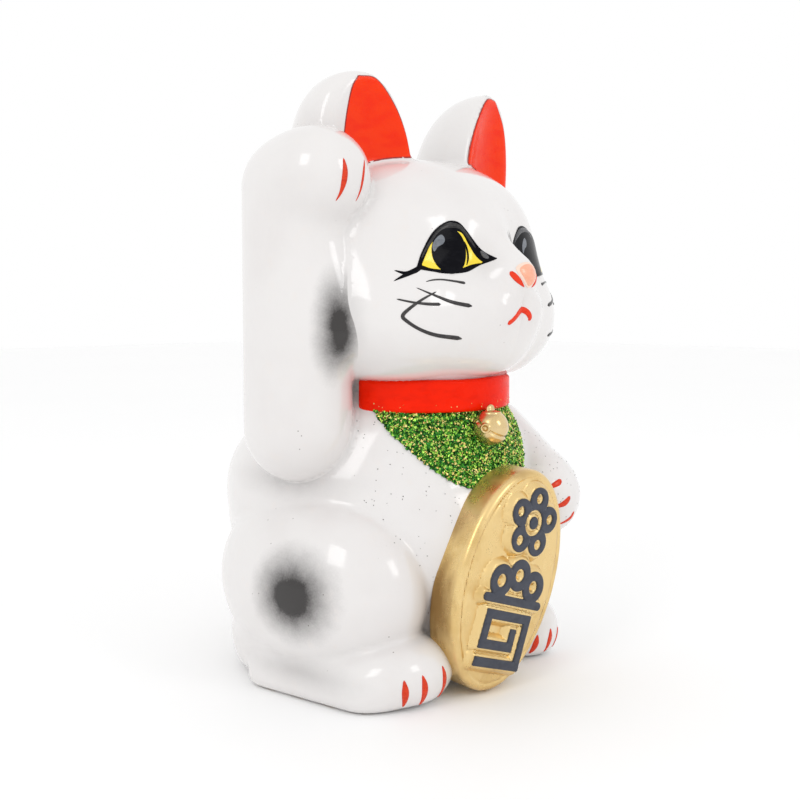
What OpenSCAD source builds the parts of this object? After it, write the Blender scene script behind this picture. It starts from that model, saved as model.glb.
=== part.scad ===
// Beckoning cat figurine: a slip-cast, glazed earthenware bank.
// Millimetres. +Z is up, the cat looks along -Y, its own right side is -X.
// The origin is the centre of the base disc, on the surface that the cat stands on.
// The figure is cast hollow in pieces that are joined with slip before firing.
// Only the rubber stopper in the base comes out again.

/* [Head] */
// Width of the skull, without the cheeks
head_w = 117; // [112:1:120]
// Depth of the skull, front to back
head_d = 85; // [82:1:90]
// Height of the skull
head_h = 92; // [86:1:96]
// Width of one ear
ear_w = 41; // [36:1:43]
// Height of the ear ellipsoid
ear_h = 82; // [76:1:86]
// Outward turn of the ears' flat fronts
ear_turn = 14; // [6:1:20]

/* [Body] */
// Depth of the torso, front to back
torso_d = 142; // [138:1:148]
// Width of the torso, without the haunches
torso_w = 124; // [118:1:128]
// Height of the widest part of the torso
torso_z = 52; // [50:1:54]
// Diameter of the neck under the collar
neck_d = 71; // [66:1:73]
// Height where the head sits on the neck
neck_z = 118; // [116:1:119]
// Wall of the castings
wall = 5; // [4:0.5:7]

/* [Arms] */
// Diameter of the raised arm at the shoulder
arm_d = 42; // [38:1:44]
// Height of the centre of the raised paw
paw_z = 193.5; // [188:0.5:196]
// Diameter of the resting arm at the shoulder
rest_arm_d = 38; // [34:1:40]

/* [Coin plaque] */
// Width of the oval plaque
plaque_w = 57; // [50:1:60]
// Length of the oval plaque
plaque_l = 87; // [80:1:90]
// Thickness of the plaque's rim
plaque_t = 14; // [10:1:16]
// Sideways tilt of the plaque
plaque_tilt = 18; // [12:1:20]
// Height of the raised ornaments
relief = 3; // [2:0.2:3.4]

/* [Collar and bell] */
// Height of the collar band
collar_h = 13; // [10:1:14]
// How far the collar stands out from the neck
collar_t = 4; // [3:0.5:5]
// Diameter of the bell
bell_d = 13; // [11:0.5:14]

/* [Bank fittings] */
// Length of the coin slot in the back of the head
slot_w = 38; // [32:1:40]
// Width of the coin slot
slot_h = 5; // [4.6:0.2:6]
// Diameter of the base disc
base_d = 84; // [80:1:88]
// Thickness of the base disc
base_t = 7; // [6:0.5:8]
// Diameter of the stopper's hole
hole_d = 26; // [22:1:28]
// Distance of the hole behind the middle of the base
hole_y = 19; // [18:0.5:20]

/* [Hidden] */

glaze_white = [0.93, 0.91, 0.89];
enamel_red = [0.85, 0.10, 0.05];
gilt = [0.80, 0.62, 0.25];
enamel_black = [0.05, 0.05, 0.06];
glitter_green = [0.08, 0.36, 0.10];
nose_peach = [0.95, 0.62, 0.50];
rubber_grey = [0.20, 0.20, 0.21];

skull_at = [0, -17, 160];
jaw_z = neck_z + 0.8;
ear_at = [-34, -20, 236.5 - ear_h / 2];
ear_lean = -8;
ear_deep = 34;
ear_front = [-33, -27, 200];
neck_at = [0, -16, 0];
chest_at = [0, -14, 92];
plaque_at = [-4, -65.5, plaque_l / 2 - 0.3];
bell_at = [0, -60, 101.5];
collar_z = neck_z + 1.5 - collar_h;
stem_gap = 0.06;
pocket_gap = 0.3;
seat_d = hole_d + 8;
seat_t = 3.4;
flange_t = 2.6;
layer = 0.6;
coarse = 24;
fine = 36;

// ---------- building blocks ----------

// Ellipsoid at c with half-axes r, every side moved out by g
module egg(c, r, g = 0, n = fine) {
  translate(c) scale([r[0] + g, r[1] + g, r[2] + g]) sphere(1, $fn = n);
}

// Ellipsoid with a fuller, boxier side profile
module full_egg(c, r, g = 0, n = 40, power = 2.5) {
  steps = n / 4;
  side = [for (i = [-steps:steps])
    let (a = 90 * i / steps)
    [pow(cos(a), 2 / power), sign(a) * pow(abs(sin(a)), 2 / power)]];
  translate(c) scale([r[0] + g, r[1] + g, r[2] + g]) rotate_extrude($fn = n) polygon(side);
}

// Limb between two round ends
module limb(a, b, ra, rb, g = 0, n = coarse) {
  hull() {
    translate(a) sphere(ra + g, $fn = n);
    translate(b) sphere(rb + g, $fn = n);
  }
}

// One closed surface out of several free-form ones
module cast() {
  resize([0, 0, 0]) children();
}

// Keeps what lies between two heights
module between(low, high) {
  intersection() {
    children();
    translate([-150, -150, low]) cube([300, 300, high - low]);
  }
}

function oval(rx, ry, n) = [for (i = [0:n - 1]) [rx * cos(360 * i / n), ry * sin(360 * i / n)]];

// ---------- outer forms, g grows or shrinks each of them ----------

module ear_form(g = 0) {
  intersection() {
    translate(ear_at) rotate([0, ear_lean, 0])
      full_egg([0, 0, 0], [ear_w / 2, ear_deep, ear_h / 2], g, fine, 2.3);
    translate(ear_front) rotate([0, 0, -ear_turn]) translate([-60, -g, -80]) cube([120, 100, 160]);
  }
}

module muzzle_form(g = 0) {
  // whisker pads and chin
  hull() {
    for (s = [-1, 1]) egg([s * 6.5, -60, 146.5], [12.5, 15, 11.5], g, coarse);
    egg([0, -57, 134], [14, 11.5, 11], g, coarse);
  }
  // nose and its bridge
  hull() {
    egg([0, -66, 158.5], [8, 10.5, 6.5], g, coarse);
    egg([0, -54, 170], [8, 10, 10], g, coarse);
  }
}

module cheek_forms(g = 0, n = fine) {
  for (s = [-1, 1]) egg([s * 27, -22.5, 144], [32, 39, 28], g, n);
}

module head_form(g = 0) {
  between(jaw_z - g, 300) {
    full_egg(skull_at, [head_w / 2, head_d / 2, head_h / 2], g);
    cheek_forms(g);
    // jaw
    egg([0, -30, 142], [46, 34, 25.5], g);
    muzzle_form(g);
  }
  ear_form(g);
  mirror([1, 0, 0]) ear_form(g);
}

module neck_form(g = 0, low = 90, high = neck_z) {
  translate([neck_at[0], neck_at[1], low]) cylinder(d = neck_d + 2 * g, h = high - low, $fn = 56);
}

module seat_form(g = 0) {
  // broad underside that the cat sits on
  full_egg([0, 2, 16], [70, 55, 30], g, 40, 2.6);
}

module leg_forms(g = 0) {
  // haunches
  egg([-44.5, -9, 39.5], [32.5, 50.5, 38.5], g);
  egg([41, -2, 38], [29.5, 42, 34.5], g);
  // lower legs and feet, flat on the ground
  limb([-58, -6, 5], [-52, -45, 8], 17, 16, g);
  egg([-43, -50.5, 11.5], [20.5, 15.5, 14], g, coarse);
  limb([40, 2, 9], [37, -45, 11], 15, 15, g);
}

module torso_form(g = 0) {
  egg([0, 1, torso_z], [torso_w / 2, torso_d / 2, torso_z + 8], g, 40);
  // shoulders and back
  egg([0, 9, 76], [63, 56, 37], g, 40);
  egg([0, -7, 78], [55, 48, 36], g);
  egg(chest_at, [45.5, 41, 32], g);
}

// Short tail laid round the left side of the seat
module tail_form(g = 0) {
  limb([-2, 60, 14], [24, 52, 20], 9, 8, g, 20);
}

module body_form(g = 0) {
  between(0, neck_z) {
    torso_form(g);
    seat_form(g);
    leg_forms(g);
    tail_form(g);
  }
  neck_form(g);
}

module raised_arm_form(g = 0) {
  limb([-57, -10, 101], [-58, -10, paw_z], arm_d / 2, 20, g, 32);
  // forearm turned towards the cheek
  limb([-50.5, -19.5, 132], [-50, -20, 178], 16, 17.5, g);
  egg([-57, -21.5, paw_z], [20, 21, 19.5], g, 32);
}

module resting_arm_form(g = 0) {
  limb([49, -15, 87], [42, -44, 74], rest_arm_d / 2, 16, g);
  egg([37, -54, 69], [17, 16, 17], g, coarse);
}

// Plaque frame: X across, Z along, -Y out of the face
module on_plaque() {
  translate(plaque_at) rotate([0, plaque_tilt, 0]) rotate([4, 0, 0]) children();
}

// Flat outline stood up in the plaque frame, from the face outwards
module raise_relief(h) {
  on_plaque() translate([0, -plaque_t / 2, 0]) rotate([90, 0, 0]) linear_extrude(h) children();
}

module plaque_form() {
  rim = 2.2;
  on_plaque() rotate([90, 0, 0]) hull() {
    translate([0, 0, -plaque_t / 2])
      linear_extrude(plaque_t - rim) polygon(oval(plaque_w / 2, plaque_l / 2, 64));
    translate([0, 0, -plaque_t / 2])
      linear_extrude(plaque_t) polygon(oval(plaque_w / 2 - rim, plaque_l / 2 - rim, 64));
  }
}

module collar_form() {
  translate([neck_at[0], neck_at[1], collar_z]) rotate_extrude($fn = 56)
    polygon([[neck_d / 2, 0], [neck_d / 2 + collar_t - 0.8, 0], [neck_d / 2 + collar_t, 1.2],
             [neck_d / 2 + collar_t, collar_h - 1.2], [neck_d / 2 + collar_t - 0.8, collar_h],
             [neck_d / 2, collar_h]]);
}

module bell_form() {
  translate(bell_at) {
    sphere(d = bell_d, $fn = 24);
    // lip round the sound slot, and the round end of the slot above it
    rotate([24, 0, 0]) translate([0, 0, -3.4]) cylinder(d = bell_d, h = 1.6, $fn = 24);
    translate([-1.5, -bell_d / 2 + 0.4, -1.2]) sphere(d = 3, $fn = 12);
  }
}

// Stands an X-Z outline in front of the cat, to be cut by a curved surface
module from_front() {
  rotate([90, 0, 0]) linear_extrude(120) children();
}

// ---------- sub-parts ----------

module body_casting() {
  color(glaze_white) cast() difference() {
    body_form();
    // cavity, open at the neck
    between(base_t, neck_z + 1) {
      torso_form(-wall);
      egg([0, -2, 26], [54, 44, 26], -wall, coarse);
    }
    neck_form(-wall, 85, neck_z + 1);
    translate([0, 0, -1]) cylinder(d = base_d + pocket_gap, h = base_t + 1, $fn = 72);
  }
}

module base_disc() {
  color(glaze_white) difference() {
    cylinder(d = base_d, h = base_t, $fn = 72);
    translate([0, hole_y, -1]) cylinder(d = hole_d, h = base_t + 2, $fn = 72);
    translate([0, hole_y, -1]) cylinder(d = seat_d, h = seat_t + 1, $fn = 72);
  }
}

module stopper() {
  // head in the recess, stem in the hole and a lip above it that grips the inside edge
  flange_z = seat_t - flange_t;
  stem_r = hole_d / 2 - stem_gap;
  color(rubber_grey) translate([0, hole_y, 0]) difference() {
    union() {
      translate([0, 0, flange_z]) cylinder(d = seat_d - 1, h = flange_t, $fn = 72);
      translate([0, 0, flange_z + flange_t]) cylinder(r = stem_r, h = base_t - seat_t + 5, $fn = 72);
    }
    // hollow inside the stem
    translate([0, 0, seat_t + 1]) cylinder(r = stem_r - 3, h = 20, $fn = 72);
  }
}

module head_casting() {
  color(glaze_white) cast() difference() {
    union() {
      head_form();
      neck_form(0, neck_z, neck_z + 14);
    }
    // cavity, open at the neck
    between(jaw_z + wall, 300) {
      full_egg(skull_at, [head_w / 2, head_d / 2, head_h / 2], -wall, 28);
      cheek_forms(-wall, 20);
    }
    neck_form(-wall, neck_z - 1, neck_z + 20);
    // coin slot through the back of the head
    translate([-slot_w / 2, 10, 176]) cube([slot_w, 40, slot_h]);
  }
}

module raised_arm() {
  color(glaze_white) cast() difference() {
    raised_arm_form();
    body_form();
    head_form();
  }
}

module resting_arm() {
  color(glaze_white) cast() difference() {
    resting_arm_form();
    body_form();
  }
}

module koban_plaque() {
  color(gilt) cast() difference() {
    plaque_form();
    body_form();
    resting_arm_form();
    translate([-100, -100, -10]) cube([200, 200, 10]);
  }
}

// Five open petals about a disc
module plum_blossom() {
  petal = plaque_w * 0.098;
  color(enamel_black) raise_relief(relief) translate([0, plaque_l * 0.27]) {
    difference() {
      for (i = [0:4]) rotate(72 * i + 90) translate([petal * 1.55, 0]) circle(petal, $fn = 36);
      for (i = [0:4]) rotate(72 * i + 90) translate([petal * 1.7, 0]) circle(petal * 0.3, $fn = 24);
      circle(petal * 0.85, $fn = 36);
    }
    circle(petal * 0.5, $fn = 36);
  }
}

// Three round clouds on a drifting bar
module cloud_scroll() {
  puff = plaque_w * 0.115;
  color(enamel_black) raise_relief(relief) translate([0, -plaque_l * 0.005]) {
    for (i = [-1:1]) translate([i * puff * 1.5, (1 - abs(i)) * puff * 0.5]) difference() {
      circle(puff, $fn = 36);
      circle(puff * 0.34, $fn = 36);
    }
    hull() for (s = [-1, 1]) translate([s * puff * 2.4, -puff * 1.05]) circle(puff * 0.3, $fn = 24);
  }
}

// Squared spiral
module key_fret() {
  bar = plaque_w * 0.075;
  unit = bar * 1.6;
  color(enamel_black) raise_relief(relief) translate([0, -plaque_l * 0.27]) {
    translate([-unit * 2, -unit * 1.5]) square([unit * 4, bar]);
    translate([unit * 2 - bar, -unit * 1.5]) square([bar, unit * 3.3]);
    translate([-unit * 2, unit * 1.8 - bar]) square([unit * 4, bar]);
    translate([-unit * 2, -unit * 0.5]) square([bar, unit * 2.3]);
    translate([-unit * 2, -unit * 0.5]) square([unit * 3, bar]);
    translate([unit - bar, -unit * 0.5]) square([bar, unit * 1.4]);
  }
}

module collar_band() {
  color(enamel_red) cast() difference() {
    collar_form();
    body_form();
    head_form();
    raised_arm_form();
  }
}

module bell() {
  color(gilt) cast() difference() {
    bell_form();
    collar_form();
    body_form(1.2);
    head_form();
  }
}

module bib() {
  color(glitter_green) cast() difference() {
    intersection() {
      body_form(1.2);
      translate([0, -22, 0]) from_front() translate([0, 107]) polygon([for (i = [0:24])
        let (a = 180 + 180 * i / 24) [37 * cos(a), 29 * sin(a)]]);
    }
    body_form();
    collar_form();
    plaque_form();
    raised_arm_form();
    resting_arm_form();
    neck_form(20, collar_z, 200);
  }
}

module ear_lining_form() {
  inset = 4;
  color(enamel_red) cast() difference() {
    intersection() {
      translate(ear_at) rotate([0, ear_lean, 0])
        full_egg([0, 0, 0], [ear_w / 2 - inset, ear_deep + 10, ear_h / 2 - inset], 0, fine, 2.3);
      translate(ear_front) rotate([0, 0, -ear_turn]) translate([-60, -layer, 0]) cube([120, layer, 80]);
    }
    full_egg(skull_at, [head_w / 2, head_d / 2, head_h / 2]);
    raised_arm_form();
  }
}

module right_ear_lining() {
  ear_lining_form();
}

module left_ear_lining() {
  color(enamel_red) mirror([1, 0, 0]) ear_lining_form();
}

// Almond under a high round lid, in the X-Z plane
module eye_outline() {
  half_w = 14;
  lid_h = 15;
  low_h = 5;
  translate([-26.5, 164.5]) polygon(concat(
    [for (i = [0:20]) let (a = 180 - 9 * i) [half_w * cos(a), lid_h * pow(sin(a), 1.3)]],
    [for (i = [1:11]) let (a = -15 * i) [half_w * cos(a), low_h * sin(a)]]));
}

module eye_form() {
  cast() difference() {
    intersection() {
      head_form(layer);
      from_front() eye_outline();
    }
    head_form();
  }
}

module right_eye() {
  color(enamel_black) eye_form();
}

module left_eye() {
  color(enamel_black) mirror([1, 0, 0]) eye_form();
}

module nose() {
  color(nose_peach) cast() difference() {
    intersection() {
      head_form(layer);
      from_front() hull() {
        for (s = [-1, 1]) translate([s * 5, 160.5]) circle(1.8, $fn = 20);
        translate([0, 155.5]) circle(1.8, $fn = 20);
      }
    }
    head_form();
  }
}

// Two short strokes that meet in a point
module mouth() {
  color(enamel_red) cast() difference() {
    intersection() {
      head_form(layer);
      from_front() for (s = [-1, 1]) hull() {
        translate([0, 146]) circle(1.1, $fn = 16);
        translate([s * 6, 141.5]) circle(0.8, $fn = 16);
      }
    }
    head_form();
  }
}

body_casting();
base_disc();
stopper();
head_casting();
raised_arm();
resting_arm();
koban_plaque();
plum_blossom();
cloud_scroll();
key_fret();
collar_band();
bell();
bib();
right_ear_lining();
left_ear_lining();
right_eye();
left_eye();
nose();
mouth();
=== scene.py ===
"""Beckoning cat figurine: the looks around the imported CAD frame.

Free-form ceramic is described by distance functions in millimetres, blended where the clay
is blended, and turned into quads. Paint, gilding and glitter are thin solids laid on it.
"""

import math

import bpy
import numpy as np
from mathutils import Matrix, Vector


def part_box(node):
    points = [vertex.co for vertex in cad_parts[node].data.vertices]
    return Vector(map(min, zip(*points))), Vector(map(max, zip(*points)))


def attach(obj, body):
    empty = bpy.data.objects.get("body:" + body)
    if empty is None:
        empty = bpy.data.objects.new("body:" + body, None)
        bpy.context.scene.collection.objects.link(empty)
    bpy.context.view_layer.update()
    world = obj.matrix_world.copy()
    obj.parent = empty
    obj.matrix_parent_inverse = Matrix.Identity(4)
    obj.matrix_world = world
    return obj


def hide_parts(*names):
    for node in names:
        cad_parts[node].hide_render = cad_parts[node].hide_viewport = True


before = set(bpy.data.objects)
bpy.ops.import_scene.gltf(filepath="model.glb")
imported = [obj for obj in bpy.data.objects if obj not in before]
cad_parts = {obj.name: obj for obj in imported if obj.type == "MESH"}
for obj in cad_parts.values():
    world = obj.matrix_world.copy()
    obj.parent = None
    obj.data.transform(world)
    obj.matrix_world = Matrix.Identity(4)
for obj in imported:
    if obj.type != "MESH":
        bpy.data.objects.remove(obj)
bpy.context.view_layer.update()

import openvdb
from mathutils import Vector
from numpy.linalg import norm

MM = 0.001
WALL = 3.2            # thickness of the visible ceramic skins
ENAMEL_ROOT = 0.15    # how far enamel reaches into the glaze
FLAKE_THICK = 0.16
# Spacing of the quads on each kind of surface
CERAMIC_GRID = 1.85
BIB_GRID = 1.1
BROAD_GRID = 0.9      # collar and ear linings
PLAQUE_GRID = 0.8
EYE_GRID = 0.55
ORNAMENT_GRID = 0.5
NOSE_GRID = 0.45
BELL_GRID = 0.4
MARGIN = 6            # room left round the CAD boxes
RNG = np.random.default_rng(7)


def node_box(name):
    """Lowest and highest corner of a CAD node, in millimetres."""
    low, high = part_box(name)
    return np.array(low) / MM, np.array(high) / MM


BODY_LO, BODY_HI = node_box("body_casting")
HEAD_LO, HEAD_HI = node_box("head_casting")
ARM_LO, ARM_HI = node_box("raised_arm")
DISC_LO, DISC_HI = node_box("base_disc")
COLLAR_LO, COLLAR_HI = node_box("collar_band")
BELL_LO, BELL_HI = node_box("bell")

# ---- distance functions


def turn(rx=0.0, ry=0.0, rz=0.0):
    """Rotation about X, then Y, then Z, in degrees, as a matrix."""
    a, b, c = (math.radians(v) for v in (rx, ry, rz))
    about_x = np.array([[1, 0, 0], [0, math.cos(a), -math.sin(a)], [0, math.sin(a), math.cos(a)]])
    about_y = np.array([[math.cos(b), 0, math.sin(b)], [0, 1, 0], [-math.sin(b), 0, math.cos(b)]])
    about_z = np.array([[math.cos(c), -math.sin(c), 0], [math.sin(c), math.cos(c), 0], [0, 0, 1]])
    return about_z @ about_y @ about_x


def unit(v):
    """Rows scaled to length one."""
    return v / np.maximum(norm(v, axis=1, keepdims=True), 1e-9)


def egg(p, centre, radii, rotation=None):
    """Ellipsoid."""
    q = p - centre
    if rotation is not None:
        q = q @ rotation
    r = np.array(radii, float)
    k0 = norm(q / r, axis=1)
    k1 = norm(q / (r * r), axis=1)
    return k0 * (k0 - 1) / np.maximum(k1, 1e-9)


def full_egg(p, centre, radii, power):
    """Ellipsoid with a fuller side profile."""
    q = p - centre
    rx, ry, rz = radii
    flat = np.sqrt((q[:, 0] / rx) ** 2 + (q[:, 1] / ry) ** 2)
    up = np.abs(q[:, 2]) / rz
    k = (flat**power + up**power) ** (1 / power) + 1e-9
    slope_flat = (flat / k) ** (power - 1)
    slope_up = (up / k) ** (power - 1) / rz
    flat = np.maximum(flat, 1e-9)
    gx = slope_flat * q[:, 0] / (rx * rx * flat)
    gy = slope_flat * q[:, 1] / (ry * ry * flat)
    return (k - 1) / np.sqrt(gx**2 + gy**2 + slope_up**2 + 1e-12)


def limb(p, a, b, ra, rb):
    """Tapered limb between two round ends."""
    a, b = np.array(a, float), np.array(b, float)
    ba = b - a
    length2 = ba @ ba
    dr = ra - rb
    slant2 = length2 - dr * dr
    pa = p - a
    y = pa @ ba
    z = y - length2
    x2 = ((pa * length2 - np.outer(y, ba)) ** 2).sum(1)
    y2, z2 = y * y * length2, z * z * length2
    k = np.sign(dr) * dr * dr * x2
    d = (np.sqrt(np.maximum(x2 * slant2 / length2, 0)) + y * dr) / length2 - ra
    d = np.where(np.sign(z) * slant2 * z2 > k, np.sqrt(x2 + z2) / length2 - rb, d)
    return np.where(np.sign(y) * slant2 * y2 < k, np.sqrt(x2 + y2) / length2 - ra, d)


def join(a, b, soft):
    """Union with a fillet."""
    h = np.clip(0.5 + 0.5 * (b - a) / soft, 0, 1)
    return b * (1 - h) + a * h - soft * h * (1 - h)


def cut(a, b, soft):
    """Intersection with a rounded edge."""
    return -join(-a, -b, soft)


def mirrored(p):
    """Both sides folded onto the cat's right side."""
    q = p.copy()
    q[:, 0] = -np.abs(q[:, 0])
    return q


def block(p, low, high):
    """Box between two corners."""
    middle, half = (np.array(low) + np.array(high)) / 2, (np.array(high) - np.array(low)) / 2
    q = np.abs(p - middle) - half
    return norm(np.maximum(q, 0), axis=1) + np.minimum(q.max(1), 0)


# ---- the cat's forms

NECK_Z = HEAD_LO[2]
JAW_Z = NECK_Z + 0.8
HEAD_Y = -17.0                          # the axis that the face is laid out round
NECK_Y, NECK_R = -16.0, 35.5
PAW_Z = ARM_HI[2] - 22
EAR_LEAN, EAR_SPLAY = -8, -14           # degrees
EAR_AT = (-34, -20, HEAD_HI[2] - 40.7)
EAR_FRONT = (-33, -27, 200)             # a point of the ear's flat front
EAR_TURN = turn(rz=EAR_SPLAY)
SLOT_LO, SLOT_HI = np.array((-19, 18, 176)), np.array((19, 60, 181))
POCKET_R = (DISC_HI[0] - DISC_LO[0]) / 2 + 0.15     # room for the base disc


def skull_form(p):
    """The head without cheeks, muzzle and ears."""
    return full_egg(p, (0, HEAD_Y, 160), (58.5, 42.5, 46), 2.5)


def ear_fin(p):
    """The ear before its front is cut flat, right ear."""
    return full_egg((p - EAR_AT) @ turn(ry=EAR_LEAN), (0, 0, 0), (20.3, 34, 41), 2.3)


def ear_form(p):
    """Both ears, flat in front with a shallow scoop."""
    q = mirrored(p)
    q_front = (q - EAR_FRONT) @ EAR_TURN
    rounding = 3 + 5 * np.clip(-q_front[:, 0] / 16, 0, 1)
    d = cut(ear_fin(q), q_front @ np.array((0, -1, -0.02)), rounding)
    scoop = egg(q, (-33.5, -31.5, 196), (18.5, 8, 41), turn(ry=EAR_LEAN, rz=EAR_SPLAY))
    return cut(d, -scoop, 2)


def neck_form(p, low, high):
    """The throat between two heights."""
    r = np.hypot(p[:, 0], p[:, 1] - NECK_Y) - NECK_R
    return np.maximum(r, np.maximum(low - p[:, 2], p[:, 2] - high))


def head_form(p):
    q = mirrored(p)
    cheeks = egg(q, (-27, -23, 143), (31.5, 37.5, 26))
    jaw = egg(p, (0, -30, 142), (45, 33, 25))
    whisker_pads = egg(q, (-6.5, -60, 146.5), (12, 14.5, 11))
    chin = egg(p, (0, -57, 134), (14, 11, 11))
    nose_tip = egg(p, (0, -66, 158.5), (8, 10.5, 6.5))
    nose_bridge = limb(p, (0, -66, 161), (0, -53, 176), 6.5, 6.5)
    d = join(join(skull_form(p), cheeks, 11), jaw, 12)
    d = join(join(d, whisker_pads, 12), chin, 12)
    d = join(join(d, nose_tip, 8), nose_bridge, 9)
    d = cut(d, JAW_Z - p[:, 2], 4)
    d = join(d, ear_form(p), 3)
    d = join(d, neck_form(p, NECK_Z, NECK_Z + 20), 4)
    return cut(d, -block(p, SLOT_LO, SLOT_HI), 1)


def body_form(p):
    torso = egg(p, (0, 1, 52), (62, 71, 60))
    back = egg(p, (0, 9, 76), (63, 56, 37))
    shoulders = egg(p, (0, -7, 78), (54, 47, 35))
    chest = egg(p, (0, -14, 92), (45, 41, 32))
    seat = full_egg(p, (0, 2, 16), (70, 55, 30), 2.6)
    right_haunch = egg(p, (-44.5, -9, 39.5), (32.5, 50.5, 38.5))
    left_haunch = egg(p, (41, -2, 38), (29, 42, 34))
    right_shin = limb(p, (-60, -2, 3.5), (-54, -45, 6.5), 13, 14.5)
    right_toes = egg(p, (-42, -52, 11.5), (21, 16, 14))
    left_foot = limb(p, (40, 2, 9), (37, -45, 11), 15, 15)
    tail = limb(p, (-2, 60, 14), (24, 52, 20), 9, 8)
    pocket = np.maximum(np.hypot(p[:, 0], p[:, 1]) - POCKET_R, p[:, 2] - DISC_HI[2])
    d = join(join(join(torso, back, 14), shoulders, 8), chest, 10)
    d = join(join(join(d, seat, 6), right_haunch, 2), left_haunch, 3)
    d = join(d, join(join(right_shin, right_toes, 5), left_foot, 2), 3)
    d = cut(join(d, tail, 3), BODY_LO[2] - p[:, 2], 4)
    d = join(d, neck_form(p, 90, NECK_Z), 4)
    return cut(d, -pocket, 0.8)


def raised_arm_form(p):
    arm = limb(p, (-57, -10, 101), (-58, -10, PAW_Z), 21, 20)
    forearm = limb(p, (-52, -24, 139), (-54, -18, 171), 16.5, 13.5)
    paw = egg(p, (-57, -21.5, PAW_Z + 3.2), (19.5, 20.5, 19.5))
    return join(join(arm, forearm, 8), paw, 6)


def resting_arm_form(p):
    arm = limb(p, (49, -15, 87), (42, -44, 74), 19, 16)
    return join(arm, egg(p, (37, -54, 69), (17, 16, 17)), 6)


def cat_form(p):
    """The whole glazed surface, with glaze pooled in the creases."""
    d = join(body_form(p), head_form(p), 3)
    d = join(d, resting_arm_form(p), 4)
    return join(d, raised_arm_form(p), 1.5)


# ---- collar, bell and plaque


def round_neck(p):
    """Angle round the neck from the front towards the cat's left, and distance from its axis."""
    x, y = p[:, 0], p[:, 1] - NECK_Y
    return np.degrees(np.arctan2(x, -y)), np.hypot(x, y)


COLLAR_R = NECK_Y - COLLAR_LO[1]
COLLAR_END = 80      # where the band stops short of the raised arm, degrees from the front
COLLAR_REAR = 112    # where it starts again behind the arm
COLLAR_EDGE = 1.4    # rounding of the band


def collar_form(p):
    """Hand-laid band with a wavy edge, open where the raised arm passes it."""
    angle, r = round_neck(p)
    wave = 0.35 * np.sin(np.radians(angle * 3 + 40)) + 0.2 * np.sin(np.radians(angle * 7))
    low, high = COLLAR_LO[2] + 0.3, COLLAR_HI[2]
    middle, half = (low + high) / 2, (high - low) / 2
    up = np.abs(p[:, 2] - middle - 0.4 * wave) - half + COLLAR_EDGE - 0.2 * wave
    out = np.abs(r - COLLAR_R + 4.5) - 4.5 + COLLAR_EDGE
    corner = np.hypot(np.maximum(up, 0), np.maximum(out, 0))
    d = corner + np.minimum(np.maximum(up, out), 0) - COLLAR_EDGE
    to_end = (angle + COLLAR_END) * np.radians(1) * r
    to_rear = (-COLLAR_REAR - angle) * np.radians(1) * r
    return cut(d, np.minimum(-to_end, -to_rear), 3)


BELL = (BELL_LO + BELL_HI) / 2 + (-1.3, 1.2, -0.8)
BELL_R = (BELL_HI[0] - BELL_LO[0]) / 2 + 0.2
# The slit runs from a round hole to its other end, seen from the bell's middle.
SLIT_FROM, SLIT_TO = unit(np.array([(-0.94, -0.34, 0.02), (0.28, -0.78, -0.55)]))
SLIT_ACROSS = unit(np.cross(SLIT_FROM, SLIT_TO)[None])[0]


def bell_form(p):
    """Round bell with a slit, a lipped hole, a crown ring and a loop."""
    q = p - BELL
    r = norm(q, axis=1)
    lower = np.clip(-(q @ SLIT_ACROSS) * np.sign(SLIT_ACROSS[2]), 0, 1)
    d = r - BELL_R - 0.35 * lower
    slit = np.hypot(q @ SLIT_ACROSS, r - BELL_R - 0.2) - 0.6
    slit = np.maximum(slit, -(q @ (SLIT_FROM + SLIT_TO)))
    away = norm(q - SLIT_FROM * BELL_R, axis=1)
    lip = np.hypot(away - 1.6, r - BELL_R) - 0.5
    d = join(cut(d, -slit, 0.4), lip, 0.3)
    d = cut(d, -(away - 1.0), 0.3)
    crown = np.hypot(np.hypot(q[:, 0], q[:, 1]) - 3.4, q[:, 2] - BELL_R + 1.0) - 0.45
    loop = egg(q, (0, 0.6, BELL_R + 0.3), (2.1, 1.2, 1.9))
    return join(join(d, crown, 0.5), loop, 0.8)


PLAQUE_W, PLAQUE_L, PLAQUE_T = 57.0, 87.0, 14.0
PLAQUE_AT = np.array((-4, -65.5, PLAQUE_L / 2 - 0.3))
PLAQUE_TURN = turn(ry=18) @ turn(rx=4)
RELIEF = 3.0
FLANK = 1.9          # width of the gilt slopes round the ornaments


def on_plaque(p):
    """Plaque frame: X across, Z along, -Y out of the face."""
    return (p - PLAQUE_AT) @ PLAQUE_TURN


def ring(x, z, r, hole):
    d = np.hypot(x, z)
    return np.maximum(d - r, hole - d)


def bar(x, z, x0, x1, z0, z1, soft=0.6):
    """Bar with rounded corners between two corners."""
    qx = np.abs(x - (x0 + x1) / 2) - (x1 - x0) / 2 + soft
    qz = np.abs(z - (z0 + z1) / 2) - (z1 - z0) / 2 + soft
    return np.hypot(np.maximum(qx, 0), np.maximum(qz, 0)) + np.minimum(np.maximum(qx, qz), 0) - soft


def plum_blossom(x, z):
    """Five open petals about a disc, in the plane of the plaque."""
    petal = PLAQUE_W * 0.098
    z = z - PLAQUE_L * 0.27
    fifth = math.tau / 5
    angle = np.arctan2(z, x) - math.pi / 2
    angle -= fifth * np.round(angle / fifth)
    r = np.hypot(x, z)
    u, v = r * np.cos(angle), r * np.sin(angle)
    outer = np.hypot(u - petal * 1.55, v) - petal
    outer = np.maximum(outer, petal * 0.3 - np.hypot(u - petal * 1.7, v))
    outer = np.maximum(outer, petal * 0.85 - r)
    return np.minimum(outer, r - petal * 0.5)


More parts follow.
